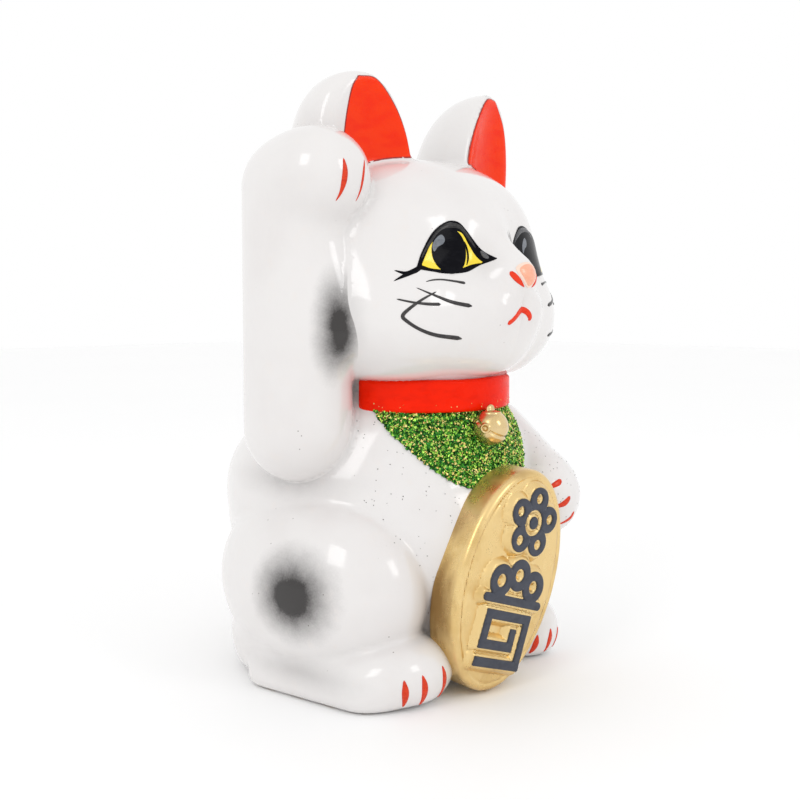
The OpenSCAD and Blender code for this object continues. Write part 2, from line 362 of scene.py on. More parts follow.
def cloud_scroll(x, z):
    """Three round clouds on a drifting bar."""
    puff = PLAQUE_W * 0.115
    z = z + PLAQUE_L * 0.005
    d = ring(x, z - puff * 0.5, puff, puff * 0.34)
    for side in (-1, 1):
        d = np.minimum(d, ring(x - side * puff * 1.5, z, puff, puff * 0.34))
    across = np.clip(x, -puff * 2.4, puff * 2.4)
    return np.minimum(d, np.hypot(x - across, z + puff * 1.05) - puff * 0.3)


def key_fret(x, z):
    """Squared spiral."""
    wide = PLAQUE_W * 0.075
    step = wide * 1.6
    z = z + PLAQUE_L * 0.27
    left, right, foot, top, shelf = -step * 2, step * 2, -step * 1.5, step * 1.8, -step * 0.5
    bars = (
        (left, right, foot, foot + wide),
        (right - wide, right, foot, top),
        (left, right, top - wide, top),
        (left, left + wide, shelf, top),
        (left, step, shelf, shelf + wide),
        (step - wide, step, shelf, step * 0.9),
    )
    return np.minimum.reduce([bar(x, z, *corners) for corners in bars])


ORNAMENTS = {"plum_blossom": plum_blossom, "cloud_scroll": cloud_scroll, "key_fret": key_fret}


def plaque_form(p):
    """Domed oval with a groove inside its rim and gilt slopes up to the ornaments."""
    q = on_plaque(p)
    x, z = q[:, 0], q[:, 2]
    oval = egg(np.stack([x, 0 * x, z], 1), (0, 0, 0), (PLAQUE_W / 2, 1e3, PLAQUE_L / 2))
    d2 = np.minimum.reduce([f(x, z) for f in ORNAMENTS.values()])
    rise = np.clip(1.15 - np.maximum(d2, 0) / FLANK, 0, 1) ** 0.8 * (RELIEF - 0.5)
    dome = 0.7 * np.clip(-oval / 20, 0, 1) ** 0.5
    groove = 0.45 * np.exp(-((oval + 3.4) / 0.7) ** 2)
    face = -q[:, 1] - PLAQUE_T / 2 - dome - rise + groove
    slab = cut(cut(oval, face, 3.2), q[:, 1] - PLAQUE_T / 2, 1.5)
    return cut(slab, BODY_LO[2] - p[:, 2], 0.6)


def ornament_form(outline):
    """Flat black top of one ornament."""
    def form(p):
        q = on_plaque(p)
        inset = outline(q[:, 0], q[:, 2]) + 0.25
        high = -q[:, 1] - PLAQUE_T / 2 - RELIEF - 0.75
        return cut(cut(inset, high, 0.7), -high - 1.6, 0.2)
    return form


# ---- from distance to mesh


def gradient(form, p, step=0.04):
    axes = np.eye(3) * step
    return np.stack([(form(p + a) - form(p - a)) / (2 * step) for a in axes], 1)


def settle(form, p, rounds=3, reach=1.0):
    """Moves points onto a form."""
    for _ in range(rounds):
        slope = gradient(form, p)
        move = np.clip(form(p) / np.maximum((slope**2).sum(1), 1e-2), -reach, reach)
        p = p - slope * move[:, None]
    return p


def quads_of(form, low, high, spacing):
    """Quads on a form's surface, corners settled on it. Only blocks near it are sampled."""
    block = 8
    low = np.array(low, float)
    blocks = np.ceil((np.array(high) - low) / (spacing * block)).astype(int)
    index = np.stack(np.indices(blocks), -1).reshape(-1, 3)
    middle = low + (index + 0.5) * block * spacing
    d = form(middle)
    far = 3 * spacing
    field = np.where(d > 0, far, -far).reshape(blocks)
    for axis in range(3):
        field = np.repeat(field, block, axis)
    field = field.astype(np.float32)
    near = index[np.abs(d) < block * spacing * 1.4 + far]
    inside = np.stack(np.indices([block] * 3), -1).reshape(-1, 3)
    for start in range(0, len(near), 400):
        at = (near[start:start + 400, None, :] * block + inside[None]).reshape(-1, 3)
        field[at[:, 0], at[:, 1], at[:, 2]] = np.clip(form(low + at * spacing), -far, far)
    grid = openvdb.FloatGrid(background=far)
    grid.copyFromArray(field)
    points, quads = grid.convertToQuads(isovalue=0.0)
    points = settle(form, np.array(points, float) * spacing + low, reach=spacing)
    return points, np.array(quads)


def add(name, data):
    """Puts a mesh, light or camera into the scene."""
    ob = bpy.data.objects.new(name, data)
    bpy.context.scene.collection.objects.link(ob)
    return ob


def new_object(name, points, faces, material, normals=None, smooth=True):
    """A Blender mesh object from points in millimetres."""
    mesh = bpy.data.meshes.new(name)
    mesh.from_pydata((np.asarray(points) * MM).tolist(), [], [list(f) for f in faces])
    mesh.update()
    if smooth:
        mesh.shade_smooth()
    if normals is not None:
        mesh.normals_split_custom_set(normals.tolist())
    mesh.materials.append(material)
    return add(name, mesh)


def place(ob, slot, *replaced):
    """Every piece but the stopper rides on the figure."""
    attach(ob, "figure")
    if replaced:
        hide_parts(*replaced)


def rim_of(quads):
    """Directed edges that only one quad has."""
    a = quads.ravel()
    b = np.roll(quads, -1, 1).ravel()
    key = np.minimum(a, b).astype(np.int64) * (quads.max() + 1) + np.maximum(a, b)
    _, first, count = np.unique(key, return_index=True, return_counts=True)
    once = first[count == 1]
    return a[once], b[once]


def along_surface(form, p, measure, reach, rounds=4):
    """Slides points on a form until a second measure is zero there."""
    for _ in range(rounds):
        n = unit(gradient(form, p))
        slope = gradient(measure, p)
        slope -= n * (slope * n).sum(1, keepdims=True)
        move = np.clip(measure(p) / np.maximum((slope**2).sum(1), 0.05), -reach, reach)
        p = settle(form, p - slope * move[:, None], rounds=1)
    return p


def compact(points, quads):
    """Only the points that some quad uses."""
    used, flat = np.unique(quads, return_inverse=True)
    return points[used], flat.reshape(quads.shape)


def skin(name, form, points, quads, material, wall, lift=0.0, lining=None):
    """Closed skin: outer quads, an inner copy a wall deeper, and the rim between.

    A lining goes on the inside, the rim and the unglazed foot.
    """
    points, quads = compact(points, quads)
    out_normal = unit(gradient(form, points))
    outer = points + out_normal * lift
    inner = outer - out_normal * wall
    a, b = rim_of(quads)
    n = len(outer)
    rim = np.stack([b, a, a + n, b + n], 1)
    everything = np.concatenate([outer, inner])
    faces = np.concatenate([quads, quads[:, ::-1] + n, rim])
    across = everything[rim]
    flat_normal = unit(np.cross(across[:, 2] - across[:, 0], across[:, 3] - across[:, 1]))
    normals = np.concatenate([
        out_normal[quads].reshape(-1, 3),
        -out_normal[quads[:, ::-1]].reshape(-1, 3),
        np.repeat(flat_normal, 4, 0),
    ])
    ob = new_object(name, everything, faces, material, normals)
    if lining is not None:
        ob.data.materials.append(lining)
        inside = np.zeros(len(faces), int)
        inside[len(quads):] = 1
        inside[:len(quads)][outer[quads][:, :, 2].max(1) < BODY_LO[2] + 0.6] = 1
        ob.data.polygons.foreach_set("material_index", inside)
    return ob


def solid(name, form, low, high, spacing, material):
    """A whole closed form as one mesh."""
    points, quads = quads_of(form, low, high, spacing)
    normals = unit(gradient(form, points))[quads].reshape(-1, 3)
    return new_object(name, points, quads, material, normals)


# ---- outlines and strokes


def spline(points, per=8, closed=False):
    """Smooth curve through points."""
    p = np.array(points, float)
    if closed:
        p = np.concatenate([p[-1:], p, p[:2]])
    else:
        p = np.concatenate([2 * p[:1] - p[1:2], p, 2 * p[-1:] - p[-2:-1]])
    t = np.linspace(0, 1, per, endpoint=False)[:, None]
    parts = []
    for a, b, c, d in zip(p, p[1:], p[2:], p[3:]):
        parts.append(0.5 * (2 * b + (c - a) * t + (2 * a - 5 * b + 4 * c - d) * t**2
                            + (3 * b - a - 3 * c + d) * t**3))
    return np.concatenate(parts if closed else parts + [p[-2:-1]])


def cornered(*runs):
    """Closed outline of smooth runs that meet in corners."""
    return np.concatenate([spline(run)[:-1] for run in runs])


def outline_distance(q, outline):
    """Distance in a plane to a closed outline, negative inside."""
    a, b = outline, np.roll(outline, -1, 0)
    e = b - a
    w = q[:, None] - a
    t = np.clip((w * e).sum(2) / np.maximum((e * e).sum(1), 1e-9), 0, 1)
    near = norm(w - e * t[..., None], axis=2).min(1)
    crosses = (a[:, 1] > q[:, None, 1]) != (b[:, 1] > q[:, None, 1])
    at = a[:, 0] + (q[:, None, 1] - a[:, 1]) * e[:, 0] / np.where(e[:, 1] == 0, 1e-9, e[:, 1])
    inside = (crosses & (q[:, None, 0] < at)).sum(1) % 2 == 1
    return np.where(inside, -near, near)


CHART_R = 45.0


def chart(p):
    """Arc length round the head's axis from the middle of the face, and height.

    The cat's right is negative.
    """
    return np.stack([np.arctan2(p[:, 0], HEAD_Y - p[:, 1]) * CHART_R, p[:, 2]], 1)


def on_face(s, z):
    """Point of the head's surface at a place in the chart."""
    angle = s / CHART_R
    inward = np.array((-math.sin(angle), math.cos(angle), 0.0))
    p = np.array([(0.0, HEAD_Y, z)]) - inward * 90
    for _ in range(40):
        p = p + inward * head_form(p)[:, None] * 0.8
    return p[0]


def route(places):
    """Places in the chart as points on the head."""
    return [on_face(s, z) for s, z in places]


def coat(name, form, region, low, high, spacing, material, lift):
    """Thin solid of enamel where region is negative, its edge on the region's outline."""
    points, quads = quads_of(form, low, high, spacing)
    quads = quads[(np.abs(form(points)) < spacing / 4)[quads].all(1)]
    quads = quads[region(points[quads].mean(1)) < 0]
    points, quads = compact(points, quads)
    edge = np.unique(np.concatenate(rim_of(quads)))
    points[edge] = along_surface(form, points[edge], region, spacing)
    return skin(name, form, points, quads, material, lift + ENAMEL_ROOT, lift)


def in_chart(outline):
    """Region of the head inside an outline in the chart."""
    outline = np.array(outline)
    return lambda p: outline_distance(chart(p), outline)


def stroke(name, form, along, widths, material, height=0.28, per=7, across=7):
    """Brush stroke: a lens-shaped ribbon along a line on a form, with a width at each point."""
    line = settle(form, spline(along, per), rounds=4, reach=4)
    wide = np.maximum(spline(np.array(widths, float)[:, None], per)[:, 0], 0.12)
    length = norm(np.diff(line, axis=0), axis=1)
    gone = np.concatenate([[0], np.cumsum(length)])
    to_end = np.minimum(gone, gone[-1] - gone)
    wide *= np.sqrt(np.clip(1 - (1 - np.clip(to_end / (wide / 2), 0.03, 1)) ** 2, 0, 1))
    ahead = unit(np.gradient(line, axis=0))
    side = unit(np.cross(ahead, unit(gradient(form, line))))
    step = np.linspace(-1, 1, across)
    top = line[:, None] + side[:, None] * (step[None, :, None] * wide[:, None, None] / 2)
    top = settle(form, top.reshape(-1, 3))
    n = unit(gradient(form, top))
    rise = np.minimum(height, 0.3 * wide)[:, None] * (0.25 + 0.75 * np.sqrt(1 - step[None] ** 2))
    points = np.concatenate([top + n * rise.reshape(-1, 1), top - n * ENAMEL_ROOT])
    rows = len(line)
    at = np.arange(rows * across).reshape(rows, across)
    low = at + rows * across
    faces = []
    for up, order in ((at, 1), (low, -1)):
        grid = np.stack([up[:-1, :-1], up[:-1, 1:], up[1:, 1:], up[1:, :-1]], -1).reshape(-1, 4)
        faces.append(grid[:, ::order])
    loop = np.concatenate([at[0], at[1:, -1], at[-1, -2::-1], at[-2:0:-1, 0]])
    ahead_of = np.roll(loop, -1)
    faces.append(np.stack([ahead_of, loop, loop + rows * across, ahead_of + rows * across], -1))
    return new_object(name, points, np.concatenate(faces), material)


def merge(name, parts):
    """Several strokes of one material as one piece."""
    ob = parts[0]
    with bpy.context.temp_override(active_object=ob, selected_editable_objects=parts):
        bpy.ops.object.join()
    ob.name = ob.data.name = name
    return ob


def flakes(name, form, points, quads, count, size, material, lift, lean):
    """Loose glitter: thin three-cornered flakes thrown on some quads."""
    corner = points[quads]
    area = norm(np.cross(corner[:, 2] - corner[:, 0], corner[:, 3] - corner[:, 1]), axis=1)
    pick = RNG.choice(len(quads), count, p=area / area.sum())
    u, v = RNG.random((2, count, 1))
    a, b, c, d = corner[pick].transpose(1, 0, 2)
    middle = (a * (1 - u) + b * u) * (1 - v) + (d * (1 - u) + c * u) * v
    n = unit(gradient(form, middle))
    up = unit(n + RNG.normal(0, lean, (count, 3)))
    one = unit(np.cross(up, RNG.normal(0, 1, (count, 3))))
    two = np.cross(up, one)
    wide = size * RNG.uniform(0.6, 1.25, (count, 1))
    middle = middle + n * lift * RNG.uniform(0.2, 1, (count, 1))
    corners = [middle + (one * math.cos(t) + two * math.sin(t)) * wide / 2 for t in (0, 1.9, 4.0)]
    peak = middle + up * FLAKE_THICK
    flake = np.array([(0, 1, 3), (1, 2, 3), (2, 0, 3), (2, 1, 0)])
    faces = (np.arange(count)[:, None, None] * 4 + flake[None]).reshape(-1, 3)
    everything = np.stack(corners + [peak], 1).reshape(-1, 3)
    return new_object(name, everything, faces, material, smooth=False)


# ---- materials


class Look:
    """A Principled material and the nodes that feed it. Lengths are millimetres."""

    def __init__(self, name, colour, rough, metal=0.0, coat=0.0, coat_rough=0.05, specular=0.5):
        self.material = bpy.data.materials.new(name)
        self.material.use_nodes = True
        self.tree = self.material.node_tree
        self.shader = self.tree.nodes["Principled BSDF"]
        place_of = self.node("TexCoord", {}).outputs["Object"]
        scale = self.node("VectorMath", {0: place_of, "Scale": 1 / MM}, operation="SCALE")
        self.at = scale.outputs[0]
        self.colour = (*colour, 1)
        self.feed(self.shader, {
            "Base Color": self.colour, "Roughness": rough, "Metallic": metal, "Coat Weight": coat,
            "Coat Roughness": coat_rough, "Specular IOR Level": specular})

    def feed(self, n, inputs):
        """Links a node's inputs to outputs, or sets them to plain values."""
        for name, value in inputs.items():
            if isinstance(value, bpy.types.NodeSocket):
                self.tree.links.new(value, n.inputs[name])
            else:
                n.inputs[name].default_value = value
        return n

    def node(self, kind, inputs, **settings):
        n = self.tree.nodes.new("ShaderNode" + kind)
        for name, value in settings.items():
            setattr(n, name, value)
        return self.feed(n, inputs)

    def noise(self, size, detail=2.0, stretch=(1, 1, 1)):
        """Cloudy pattern with patches of about a size."""
        at = self.math3("MULTIPLY", self.at, stretch)
        n = self.node("TexNoise", {"Scale": 1 / size, "Detail": detail, "Vector": at})
        return n.outputs["Fac"]

    def cells(self, size):
        """Distance from scattered points about a size apart."""
        return self.node("TexVoronoi", {"Scale": 1 / size, "Vector": self.at}).outputs["Distance"]

    def away_from(self, centre, radii):
        """Distance from a place, counted in radii."""
        steps = self.math3("DIVIDE", self.math3("SUBTRACT", self.at, centre), radii)
        return self.math3("LENGTH", steps, (0, 0, 0))

    def math3(self, operation, a, b):
        n = self.node("VectorMath", {0: a, 1: b}, operation=operation)
        return n.outputs["Value" if operation == "LENGTH" else "Vector"]

    def math(self, operation, a, b):
        return self.node("Math", {0: a, 1: b}, operation=operation).outputs[0]

    def ramp(self, value, low, high, to_low=0.0, to_high=1.0, kind="SMOOTHSTEP"):
        """A value between low and high, spread from to_low to to_high."""
        n = self.node("MapRange", {"Value": value, "From Min": low, "From Max": high,
                                   "To Min": to_low, "To Max": to_high}, interpolation_type=kind)
        return n.outputs["Result"]

    def tint(self, factor, colour):
        """Lays a colour over what is there already."""
        both = {"Factor": factor, "A": self.colour, "B": (*colour, 1)}
        self.colour = self.node("Mix", both, data_type="RGBA").outputs["Result"]
        self.feed(self.shader, {"Base Color": self.colour})

    def bump(self, height, depth):
        """Unevenness too fine for the mesh."""
        n = self.node("Bump", {"Distance": depth * MM, "Height": height})
        self.feed(self.shader, {"Normal": n.outputs["Normal"]})

    def roughness(self, value):
        self.feed(self.shader, {"Roughness": value})


def glaze(name, spots_and_shade=()):
    """White tin glaze with soft waviness, faint warm clouds, pinholes, airbrushed black and painted
    crease shade.
    """
    look = Look("white_glaze_" + name, (0.775, 0.755, 0.745), 0.13, coat=0.4, coat_rough=0.1)
    look.tint(look.ramp(look.noise(34, 3), 0.42, 0.72, 0, 0.55), (0.72, 0.69, 0.68))
    look.tint(look.ramp(look.noise(5, 4), 0.55, 0.8, 0, 0.22), (0.8, 0.73, 0.68))
    pin = look.math("MULTIPLY", look.ramp(look.cells(4.2), 0.045, 0.075, 1, 0),
                    look.ramp(look.noise(16, 2), 0.56, 0.6))
    look.tint(look.math("MULTIPLY", pin, 0.75), (0.16, 0.13, 0.11))
    # Each entry darkens the glaze towards black: the airbrushed spots, and the painted shade in the
    # haunch creases.
    for centre, radii, core, strength in spots_and_shade:
        away = look.away_from(centre, radii)
        for grain, detail, reach in ((0.7, 3, 0.035), (5, 2, 0.05)):
            ragged = look.ramp(look.noise(grain, detail), 0.2, 0.8, -reach, reach, "LINEAR")
            away = look.math("ADD", away, ragged)
        spray_and_shade = look.math("POWER", look.ramp(away, core, 1, 1, 0, "LINEAR"), 1.4)
        look.tint(look.math("MULTIPLY", spray_and_shade, strength), (0.01, 0.007, 0.006))
    look.roughness(look.ramp(look.noise(11, 3), 0.3, 0.7, 0.09, 0.17))
    look.bump(look.noise(6, 2), 0.05)
    return look.material


def enamel(name, colour, dark, rough=0.2, size=6.0, edge=0.6, shine=1.0):
    """Brushed enamel: thicker and thinner strokes of one colour."""
    look = Look(name + "_enamel", colour, rough,
                coat=0.5 * shine, coat_rough=0.06, specular=0.5 * shine)
    look.tint(look.ramp(look.noise(size, 3, (1, 1, 2.4)), 0.4, 0.75, 0, edge), dark)
    look.roughness(look.ramp(look.noise(size * 0.6, 3), 0.3, 0.7, rough * 0.7, rough * 1.5))
    look.bump(look.noise(1.6, 3, (1, 1, 3)), 0.03)
    return look.material


def gold(name, colour, rough=0.3, painted_shades=()):
    """Gilt paint: satin, cloudy, with painted shade where given, rubbed darker in patches and finely
    grained.
    """
    look = Look(name, colour, rough, metal=0.92, coat=0.15, coat_rough=0.2)
    look.tint(look.ramp(look.noise(13, 4), 0.45, 0.75, 0, 0.6), (0.6, 0.38, 0.12))
    look.tint(look.ramp(look.noise(2.2, 5, (1, 1, 0.4)), 0.5, 0.8, 0, 0.35), (0.9, 0.7, 0.36))
    # Painted shade: brown laid on the gilding at given places, on the plaque's side band and under
    # its top edge.
    for centre, radii, strength in painted_shades:
        uneven = look.ramp(look.noise(3, 3, (1, 1, 0.3)), 0, 1, -0.2, 0.2)
        away = look.math("ADD", look.away_from(centre, radii), uneven)
        look.tint(look.math("MULTIPLY", look.ramp(away, 0.2, 1, 1, 0), strength), (0.36, 0.21, 0.07))
    grain = look.ramp(look.cells(0.9), 0.1, 0.35, 1, 0)
    worn = look.ramp(look.noise(9, 3), 0.58, 0.7, 0, 0.5)
    look.tint(look.math("MULTIPLY", grain, worn), (0.3, 0.17, 0.05))
    look.roughness(look.ramp(look.noise(7, 4), 0.3, 0.72, rough * 0.75, rough * 1.35))
    look.bump(look.noise(1.1, 4), 0.035)
    return look.material


def glitter(name, colour, dark, rough=0.22):
    """One lot of metallised flakes, with a slightly different tone from flake to flake."""
    look = Look("glitter_" + name, colour, rough, metal=0.75)
    look.tint(look.ramp(look.noise(0.9, 1), 0.38, 0.62, 0, 0.8), dark)
    return look.material


def raw_clay():
    """Unglazed biscuit with small pits."""
    look = Look("raw_clay", (0.62, 0.53, 0.44), 0.9, specular=0.25)
    look.tint(look.ramp(look.noise(3, 5), 0.4, 0.7, 0, 0.5), (0.52, 0.43, 0.35))
    look.tint(look.ramp(look.cells(1.7), 0.05, 0.14, 0.5, 0), (0.36, 0.29, 0.23))
    look.bump(look.noise(0.8, 5), 0.08)
    return look.material


def rubber():
    """Dull black rubber, dusty in patches."""
    look = Look("stopper_rubber", (0.045, 0.045, 0.05), 0.62, specular=0.35)
    look.tint(look.ramp(look.noise(4, 4), 0.45, 0.75, 0, 0.5), (0.085, 0.083, 0.085))
    look.roughness(look.ramp(look.noise(2, 4), 0.3, 0.7, 0.5, 0.75))
    look.bump(look.noise(0.5, 4), 0.03)
    return look.material


# Airbrushed spots, and painted shade in the creases: middle, radii, share that is full black,
# strength
HAUNCH_SPOT = ((-75.2, -26, 41), (23, 23, 22), 0.3, 0.99)
# Painted shade: darker glaze along the crease above the right haunch.
PAINTED_HAUNCH_CREASE_SHADE = ((-58, -8, 81), (30, 40, 10), 0.1, 0.24)
# Painted shade: darker glaze along the crease between the right haunch and its leg.
PAINTED_LEG_CREASE_SHADE = ((-70, -26, 11), (16, 40, 7), 0.1, 0.26)
ARM_SPOT = ((-60, -36.6, 139.5), (11.5, 11.5, 27), 0.26, 0.99)
OVERSPRAY = (*ARM_SPOT[:3], 0.22)       # what the arm's spot leaves on the cheek
# Painted shade on the gilding: middle, radii, strength
GOLD_PAINTED_SHADE = (
    ((-33, -60, 38), (9, 12, 26), 0.95),
    ((-25, -60, 66), (7, 10, 14), 0.7),
    ((-3, -76, 84), (12, 6, 3), 0.5),
)

body_glaze = glaze("body", [PAINTED_HAUNCH_CREASE_SHADE, PAINTED_LEG_CREASE_SHADE, HAUNCH_SPOT])
head_glaze = glaze("head", [OVERSPRAY])
arm_glaze = glaze("arm", [ARM_SPOT])
clay = raw_clay()
red = enamel("red", (0.92, 0.016, 0.0), (0.76, 0.009, 0.0), 0.3, 7, 0.55, 0.12)
ear_red = enamel("ear_red", (0.9, 0.04, 0.004), (0.86, 0.02, 0.003), 0.25, 9, 0.8, 0.2)
ear_edge = enamel("ear_edge", (0.3, 0.012, 0.006), (0.42, 0.02, 0.008), 0.3, 2)
claw_red = enamel("claw", (0.7, 0.05, 0.014), (0.48, 0.022, 0.008), 0.25, 2, shine=0.3)
lip_red = enamel("lip", (0.8, 0.045, 0.012), (0.62, 0.022, 0.008), 0.25, 2, shine=0.3)
black = enamel("black", (0.004, 0.004, 0.006), (0.009, 0.009, 0.012), 0.12, 3, shine=0.06)
# Greys laid on the black eye paint as painted highlights and reflections; the streak grey also
# paints the tear dot and the lash smear.
lid_highlight_grey = enamel("lid", (0.04, 0.038, 0.038), (0.01, 0.01, 0.012), 0.2, 1.2, 0.9, 0.3)
streak_and_highlight_grey = enamel("streak", (0.13, 0.13, 0.135), (0.045, 0.045, 0.05), 0.2, 0.8, 0.8, 0.3)
lid_sheen = enamel("sheen", (0.085, 0.085, 0.092), (0.02, 0.02, 0.024), 0.2, 1.0, 0.9, 0.3)
shine_grey = enamel("shine", (0.16, 0.175, 0.2), (0.07, 0.075, 0.09), 0.15, 1.6, 0.6, 0.3)
whisker_grey = enamel("whisker", (0.035, 0.033, 0.034), (0.075, 0.07, 0.068), 0.25, 1.5, 0.8, 0.3)
yellow = enamel("yellow", (0.93, 0.72, 0.02), (0.85, 0.56, 0.012), 0.15, 4, 0.5)
peach = enamel("peach", (0.9, 0.42, 0.27), (0.84, 0.33, 0.2), 0.2, 3, 0.6)
pale_peach = enamel("pale_peach", (0.88, 0.68, 0.56), (0.85, 0.6, 0.5), 0.2, 3, 0.5)
relief_black = enamel("relief", (0.05, 0.056, 0.076), (0.036, 0.04, 0.056), 0.42, 5, 0.7, 0.4)
gilding = gold("gilding", (0.82, 0.6, 0.27), 0.3, GOLD_PAINTED_SHADE)
bell_gold = gold("bell_gilding", (0.74, 0.56, 0.29), 0.2)
green_base = glitter("base", (0.012, 0.085, 0.004), (0.004, 0.03, 0.003), 0.5)
green_flake = glitter("green", (0.07, 0.34, 0.02), (0.006, 0.12, 0.035))
bright_flake = glitter("bright", (0.52, 0.86, 0.14), (0.22, 0.56, 0.05))
gold_flake = glitter("gold", (1.0, 0.84, 0.34), (0.84, 0.6, 0.14))
dust = glitter("dust", (0.06, 0.045, 0.03), (0.02, 0.05, 0.02), 0.4)

# ---- ceramic

# Piece, its form, its glaze and the CAD node it stands for
CASTINGS = (
    ("body_glazed", body_form, body_glaze, "body_casting"),
    ("head_glazed", head_form, head_glaze, "head_casting"),
    ("raised_arm_glazed", raised_arm_form, arm_glaze, "raised_arm"),
    ("resting_arm_glazed", resting_arm_form, body_glaze, "resting_arm"),
)
CASTING_FORMS = [row[1] for row in CASTINGS]


def open_ceramic():
    """Quads of the whole cat, open at the base disc and at the coin slot."""
    low = np.minimum(BODY_LO, ARM_LO) - MARGIN
    low[1] = min(low[1], HEAD_LO[1] - 8)
    high = np.array((BODY_HI[0], BODY_HI[1], HEAD_HI[2])) + MARGIN
    points, quads = quads_of(cat_form, low, high, CERAMIC_GRID)
    middle = points[quads].mean(1)
    in_pocket = (np.hypot(middle[:, 0], middle[:, 1]) < POCKET_R - 1) & (middle[:, 2] > 3)
    in_pocket &= middle[:, 2] < DISC_HI[2] + 1
    in_slot = (block(middle, SLOT_LO - 1, SLOT_HI) < 0) & (middle[:, 1] < SLOT_LO[1] + 1)
    return points, quads[~(in_pocket | in_slot)]


def tidy_seams(points, quads, casting_of):
    """Slides the corners between two castings onto the line where their forms are equal."""
    owners = np.zeros((len(points), len(CASTINGS)), bool)
    for k in range(len(CASTINGS)):
        owners[quads[casting_of == k].ravel(), k] = True
    for i, one in enumerate(CASTING_FORMS):
        for j, other in enumerate(CASTING_FORMS[:i]):
            seam = owners[:, i] & owners[:, j] & (owners.sum(1) == 2)
            if seam.any():
                moved = along_surface(cat_form, points[seam], lambda p: one(p) - other(p), 0.35)
                near = norm(moved - points[seam], axis=1) < CERAMIC_GRID * 0.8
                points[np.flatnonzero(seam)[near]] = moved[near]


points, quads = open_ceramic()
casting_of = np.argmin([form(points[quads].mean(1)) for form in CASTING_FORMS], axis=0)
tidy_seams(points, quads, casting_of)
for k, (name, form, glazing, node) in enumerate(CASTINGS):
    piece = skin(name, cat_form, points, quads[casting_of == k], glazing, WALL, lining=clay)
    place(piece, "white_glaze", node)

# ---- face

# Outlines of the right eye in the chart. The left eye turns them over.
LID = [(-35.8, 161.2), (-33.7, 167.8), (-29.6, 175), (-24, 178.9), (-18.8, 179), (-15, 176),
       (-11, 170.9), (-7, 165.3)]
LOW_LID = [(-7, 165.3), (-10.3, 163.4), (-16.8, 160.3), (-25, 159.6), (-31, 160.4), (-35.8, 161.2)]
IRIS_TOP = [(-34, 162.5), (-32.2, 167), (-30.2, 170.8), (-26, 174.6), (-18.3, 175.2),
            (-14.7, 170.8), (-12.2, 167), (-10.2, 163.7)]
IRIS_LOW = [(-10.2, 163.7), (-14.4, 162.9), (-21, 161.1), (-29.7, 161.2), (-34, 162.5)]
# Highlight, measured from the middle of the pupil
SHINE = [(-3.4, 5.9), (-2, 4.5), (-2.6, 2.7), (-4.8, 1.4), (-6.3, -0.4), (-6.9, 1.8), (-5.6, 4.4)]
# Fine strokes of the right eye: piece, places, widths, enamel, height
EYE_STROKES = (
    ("_eye_tear", [(-9.9, 168.4), (-9.1, 166.4), (-8.6, 165.3)], (0.8, 2, 0.8), streak_and_highlight_grey, 0.5),
    # Painted highlight: grey band along the black upper lid.
    ("_lid_highlight_band", [(-34.9, 162.6), (-32.6, 168.1), (-28.2, 174.2), (-23.4, 177.3), (-18, 177),
                   (-13.6, 172.4), (-10.6, 168)],
     (0.4, 1, 1.7, 2.3, 1.9, 1.2, 0.4), lid_highlight_grey, 0.42),
    # Painted reflection: light grey streak on the upper lid.
    ("_lid_streak", [(-28.6, 175.1), (-25.6, 177.3), (-22, 178.4), (-18.6, 178)],
     (0.2, 0.6, 0.8, 0.2), streak_and_highlight_grey, 0.52),
    # Painted reflection: light grey streak on the lower lid.
    ("_low_lid_streak", [(-25.5, 160.1), (-21.5, 160.1), (-15.6, 161.4)],
     (0.2, 0.5, 0.2), streak_and_highlight_grey, 0.4),
    # Painted reflection: small grey glint on the iris.
    ("_iris_glint", [(-16.4, 166.3), (-16.2, 164.4), (-17.4, 162.2)],
     (0.2, 0.9, 0.3), streak_and_highlight_grey, 0.6),
    ("_pupil_ring", [(-18.2, 174.2), (-15.9, 170.4), (-15.1, 166), (-16.6, 162.2)],
     (0.5, 1.2, 1.3, 1), black, 0.5),
    ("_lash", [(-34.2, 162), (-36.4, 160.4), (-39, 159.6), (-42.4, 160.6)],
     (1.8, 2, 1.4, 0.4), black, 0.28),
    ("_lash_fork", [(-36.2, 160.1), (-38.8, 159), (-42.4, 156.7)], (1.2, 1.5, 0.3), black, 0.3),
    ("_lash_smear", [(-36.4, 160.5), (-38.8, 159.6), (-40.6, 159.6)],
     (0.3, 0.9, 0.3), streak_and_highlight_grey, 0.42),
)
# Two more strokes of painted sheen on the left eye's lid.
LEFT_LID_SHEEN = (
    ("_sheen", [(13.5, 169.5), (16.4, 174), (22.5, 177.2), (30.5, 177.2), (37.5, 171)],
     (0.3, 1.6, 2.2, 2, 0.4)),
    ("_low_sheen", [(23, 173.6), (28.6, 173.4), (33.6, 168.4)], (0.3, 1.2, 0.3)),
)


